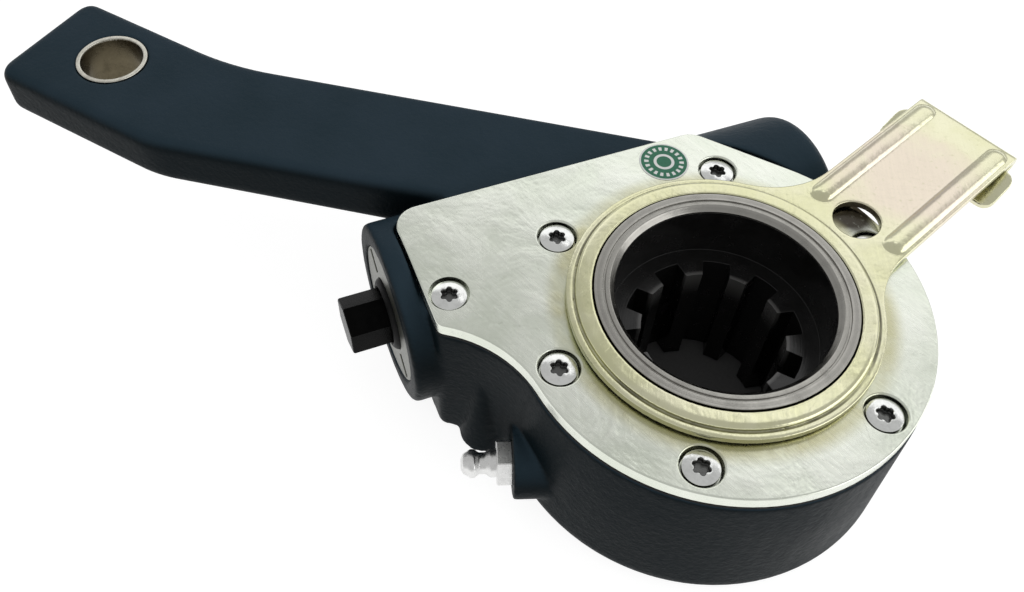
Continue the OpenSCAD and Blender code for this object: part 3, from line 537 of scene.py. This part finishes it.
def clear_of_rack(point):
    """True outside the room that the rack's travel takes, with a margin for the pocket's walls."""
    margin = 1.5 * MM
    reach = rack_travel + margin
    across = point.dot(rack_axis)
    along = point.dot(worm_axis)
    inside = rack_across[0] - reach < across < rack_across[1] + reach
    inside = inside and rack_along[0] - margin < along < rack_along[1] + margin
    return not (inside and rack_height[0] - margin < point.z < rack_height[1] + margin)


def off_corner_screw(point):
    """True away from the corner screw's hole, whose edges lie too close together for a round."""
    return (point.xy - corner_screw).length > corner_screw_room


def above_spline(point):
    """True on the hub's pilot bore and rim, and at the top of the spline's teeth."""
    margin = 0.5 * MM
    return point.z > spline_top - margin


def beyond_plug(point):
    """True on the adjusting hexagon, where it stands out of the plug."""
    return point.dot(worm_axis) > plug_end


softened("housing", voxel=0.5 * MM, rounds=14, yields=clear_of_rack)
softened("control_arm", voxel=0.2 * MM, rounds=12, yields=everywhere)

# Each bevelled node, the width of its rounds in millimetres and where they are
bevels = (
    ("lever_bush", 0.3, everywhere),
    ("cover_screws", 0.08, everywhere),
    ("grease_nipple", 0.2, everywhere),
    ("hex_seal", 0.4, everywhere),
    ("cover_plate", 0.45, off_corner_screw),
    ("worm_wheel", 0.12, above_spline),
    ("worm_shaft", 0.5, beyond_plug),
    ("end_plug", 0.3, everywhere),
)
dressed = {}
for node, width, shows in bevels:
    dressed[node] = bevelled(node, width * MM, shows)

# The plug's spanner slots stand where the photograph has them, turned about its own axis
plug_angle = math.radians(50)
plug_turn = Matrix.Rotation(plug_angle, 4, worm_axis)
about_worm = Matrix.Translation(worm_middle) @ plug_turn @ Matrix.Translation(-worm_middle)
dressed["end_plug"].data.transform(about_worm)


def round_label(centre, radius, thickness, sides):
    """Thin round label with a softened rim, lying on the cover."""
    edge_share = 0.985
    shape = bmesh.new()
    loops = []
    for share, level in ((edge_share, 0.0), (1.0, 0.5), (edge_share, 1.0)):
        corners = []
        for side in range(sides):
            turn = 2 * math.pi * side / sides
            offset = Vector((math.cos(turn), math.sin(turn), 0)) * radius * share
            corners.append(shape.verts.new(centre + offset + Vector((0, 0, thickness * level))))
        loops.append(corners)
    for low, high in zip(loops, loops[1:]):
        for side in range(sides):
            after = (side + 1) % sides
            shape.faces.new((low[side], low[after], high[after], high[side]))
    shape.faces.new(loops[-1])
    shape.faces.new(reversed(loops[0]))
    mesh = bpy.data.meshes.new("round_label")
    shape.to_mesh(mesh)
    shape.free()
    mesh.materials.append(printed_dot(centre, radius))
    return add_piece("round_label", mesh, "housing", "zinc_cover")


label_radius = 6.1 * MM
label_thickness = 0.12 * MM
label_sides = 64
label_angle = math.radians(-50.6)
label_reach = 43.7 * MM
label_centre = Vector((math.cos(label_angle), math.sin(label_angle), 0)) * label_reach
round_label(label_centre + Vector((0, 0, cover_top)), label_radius, label_thickness, label_sides)


# Stage

def flat_stage(name, material, half, depth):
    """A square of the stage, a little below the part."""
    mesh = bpy.data.meshes.new(name)
    corners = [(-half, -half, 0), (half, -half, 0), (half, half, 0), (-half, half, 0)]
    mesh.from_pydata(corners, [], [(0, 1, 2, 3)])
    mesh.materials.append(material)
    piece = bpy.data.objects.new(name, mesh)
    piece.location.z = cad_low.z - depth
    bpy.context.scene.collection.objects.link(piece)


def matte(name, scale, first, second):
    """Matte surface whose grey varies between two levels, with marks of a scale."""
    material, tree, shader, place = start(name, **{"Roughness": 0.9, "Specular IOR Level": 0.0})
    tone = noise(tree, place, scale, detail=2)
    feed(tree, shader, {"Base Color": mix(tree, tone, [first] * 3, [second] * 3)})
    return material, shader


def pale_floor(half, depth, glow):
    """White floor that glows, so that shadows on it stay faint."""
    material, shader = matte("pale_floor", 0.01, 0.30, 0.33)
    shader.inputs["Emission Color"].default_value = (1, 1, 1, 1)
    shader.inputs["Emission Strength"].default_value = glow
    flat_stage("floor", material, half, depth)


def bore_shadow_pad(half, depth):
    """Dark cloth under the gear case, seen through the bore: painted shadow where the floor lies in the bore's
    shade.
    """
    material, _ = matte("bore_shadow_pad", 1.2, 0.10, 0.13)
    flat_stage("bore_shadow_pad", material, half, depth)


def softbox(name, azimuth, elevation, size, radiance):
    """Area light one metre off, of a given brightness, that looks at the part."""
    middle = Vector((0.05, 0.0, 0.03))
    turn = math.radians(azimuth)
    rise = math.radians(elevation)
    away = Vector((math.cos(turn) * math.cos(rise), math.sin(turn) * math.cos(rise), math.sin(rise)))
    light = bpy.data.lights.new(name, "AREA")
    light.shape = "RECTANGLE"
    light.size, light.size_y = size
    light.energy = radiance * math.pi * size[0] * size[1]
    lamp = bpy.data.objects.new(name, light)
    lamp.location = middle + away
    lamp.rotation_euler = (-away).to_track_quat("-Z", "Y").to_euler()
    bpy.context.scene.collection.objects.link(lamp)


def studio_world(strength):
    """Even white light from all round."""
    world = bpy.data.worlds.new("studio")
    world.use_nodes = True
    background = world.node_tree.nodes["Background"]
    background.inputs["Color"].default_value = (1, 1, 1, 1)
    background.inputs["Strength"].default_value = strength
    bpy.context.scene.world = world


def photo_camera(place, target, lens, roll):
    """Camera at the photograph's viewpoint, rolled about its own axis."""
    camera = bpy.data.objects.new("camera", bpy.data.cameras.new("camera"))
    camera.data.lens = lens
    camera.data.sensor_width = 36.0
    camera.data.clip_start = 0.01
    camera.location = Vector(place) * MM
    aim = (Vector(target) - Vector(place)).to_track_quat("-Z", "Y")
    camera.rotation_mode = "QUATERNION"
    camera.rotation_quaternion = aim @ Quaternion((0, 0, 1), math.radians(roll))
    bpy.context.scene.collection.objects.link(camera)
    bpy.context.scene.camera = camera


pale_floor(half=3.0, depth=0.4 * MM, glow=0.88)
# painted shadow: a dark sheet under the bore
bore_shadow_pad(half=0.03, depth=0.2 * MM)
studio_world(strength=0.57)
softbox("back_box", azimuth=-84, elevation=37, size=(1.9, 0.46), radiance=0.68)
softbox("top_box", azimuth=-101, elevation=57, size=(0.28, 0.16), radiance=0.9)
softbox("side_box", azimuth=186, elevation=19, size=(1.1, 0.55), radiance=1.4)
photo_camera(place=(-11.46, 139.89, 223.69), target=(42.0, 20.39, 45.0), lens=35.417, roll=3.627)
bpy.context.scene.view_settings.view_transform = "Standard"
